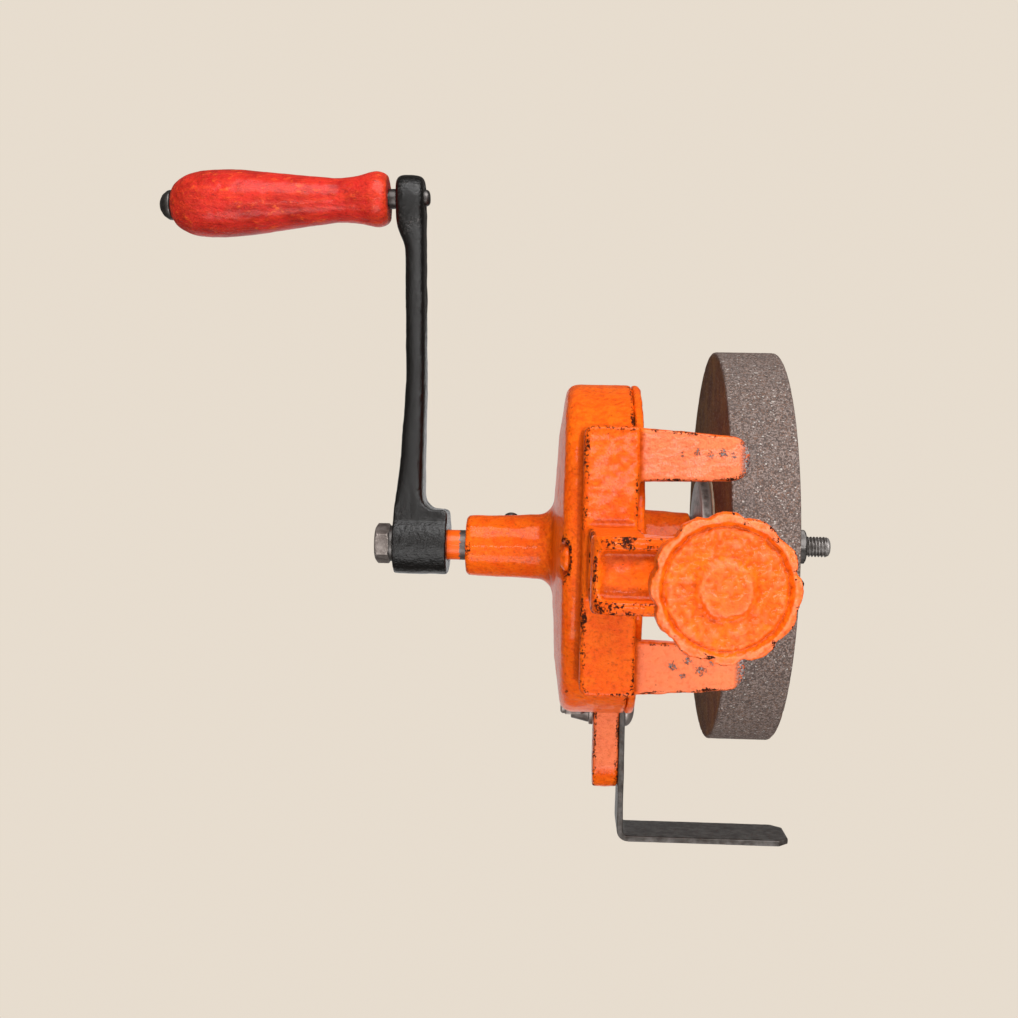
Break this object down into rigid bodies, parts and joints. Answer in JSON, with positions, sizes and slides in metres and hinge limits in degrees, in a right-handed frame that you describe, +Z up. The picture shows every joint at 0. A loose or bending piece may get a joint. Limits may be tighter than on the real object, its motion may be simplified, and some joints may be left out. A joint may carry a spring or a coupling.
{
  "type": "hand-cranked bench grinder",
  "caption": "Vintage bench-clamp hand grinder: a crank drives a grinding wheel through an internal gear in an orange cast iron drum, with an adjustable tool rest.",
  "frame": {"origin": "on the inner stop face that meets the bench edge, at bench-top level, on the clamp's centre plane", "axes": "+Z up, -X towards the wheel and over the bench, +X towards the crank, -Y towards the tool rest"},
  "size_m": [0.255, 0.2509, 0.2575],
  "materials": {
    "orange_enamel": "glossy orange enamel over cast iron, chipped at the edges",
    "black_enamel": "glossy black enamel, scuffed",
    "red_wood": "red lacquered turned wood, crazed",
    "abrasive": "coarse grey-brown vitrified abrasive",
    "paper": "compressible paper",
    "lead": "dull cast soft metal",
    "zinc": "zinc plated, dulled",
    "dark_steel": "dark oxidised steel",
    "turned_steel": "turned steel, oiled",
    "gear_iron": "machined iron, greased",
    "bronze": "bearing bronze"
  },
  "bodies": {
    "body": {"housing": "orange_enamel", "cover": "orange_enamel", "cover_screws": "orange_enamel", "oil_cup": "dark_steel", "crank_bushes": "bronze", "thrust_washer": "turned_steel", "spindle_bushes": "bronze"},
    "crank": {"crank_shaft": "turned_steel", "ring_gear": "gear_iron", "ring_gear_pin": "turned_steel", "crank_arm": "black_enamel", "crank_washer": "dark_steel", "crank_bolt": "zinc", "handle_rod": "dark_steel", "rod_collar": "dark_steel"},
    "handle": {"handle": "red_wood"},
    "spindle": {"spindle": "turned_steel", "pinion": "turned_steel", "pinion_pin": "turned_steel", "inner_flange": "zinc", "wheel_blotters": "paper", "wheel_bush": "lead", "grinding_wheel": "abrasive", "outer_flange": "zinc", "wheel_washer": "zinc", "wheel_nut": "zinc"},
    "clamp_pad": {"clamp_pad": "dark_steel"},
    "clamp_screw": {"clamp_screw": "turned_steel", "knob": "orange_enamel", "knob_pin": "dark_steel"},
    "rest_bolt": {"rest_bolt": "zinc"},
    "tool_rest": {"tool_rest": "dark_steel"},
    "rest_washer": {"rest_washer": "dark_steel"},
    "wing_nut": {"wing_nut": "zinc"}
  },
  "joints": [
    {"name": "crank_turn", "type": "hinge", "parent": "body", "child": "crank", "pos_m": [0.0623, 0, 0.0623], "axis": [1, 0, 0], "continuous": true},
    {"name": "handle_spin", "type": "hinge", "parent": "crank", "child": "handle", "pos_m": [0.08714, 0.126, 0.0623], "axis": [0.9993, -0.0384, 0], "continuous": true},
    {"name": "spindle_turn", "type": "hinge", "parent": "body", "child": "spindle", "pos_m": [-0.01, 0, 0.0983], "axis": [1, 0, 0], "continuous": true},
    {"name": "clamp_travel", "type": "slide", "parent": "body", "child": "clamp_pad", "axis": [0, 0, 1], "range_m": [-0.012, 0.014]},
    {"name": "clamp_turn", "type": "hinge", "parent": "clamp_pad", "child": "clamp_screw", "pos_m": [-0.018, 0, -0.05], "axis": [0, 0, 1], "range_deg": [-2882, 3362]},
    {"name": "rest_slide", "type": "slide", "parent": "body", "child": "rest_bolt", "axis": [0, -1, 0], "range_m": [0, 0.02]},
    {"name": "rest_tilt", "type": "hinge", "parent": "rest_bolt", "child": "tool_rest", "pos_m": [0, -0.065, 0.097], "axis": [-1, 0, 0], "range_deg": [-60, 75]},
    {"name": "wing_nut_travel", "type": "slide", "parent": "rest_bolt", "child": "rest_washer", "axis": [1, 0, 0], "range_m": [0, 0.003]},
    {"name": "wing_nut_turn", "type": "hinge", "parent": "rest_washer", "child": "wing_nut", "pos_m": [0.0155, -0.065, 0.097], "axis": [1, 0, 0], "range_deg": [0, 1081]}
  ],
  "couplings": [
    {"joint": "spindle_turn", "follows": "crank_turn", "ratio": 5},
    {"joint": "clamp_turn", "follows": "clamp_travel", "rad_per_m": 4188.8},
    {"joint": "wing_nut_turn", "follows": "wing_nut_travel", "rad_per_m": 6283.2}
  ]
}
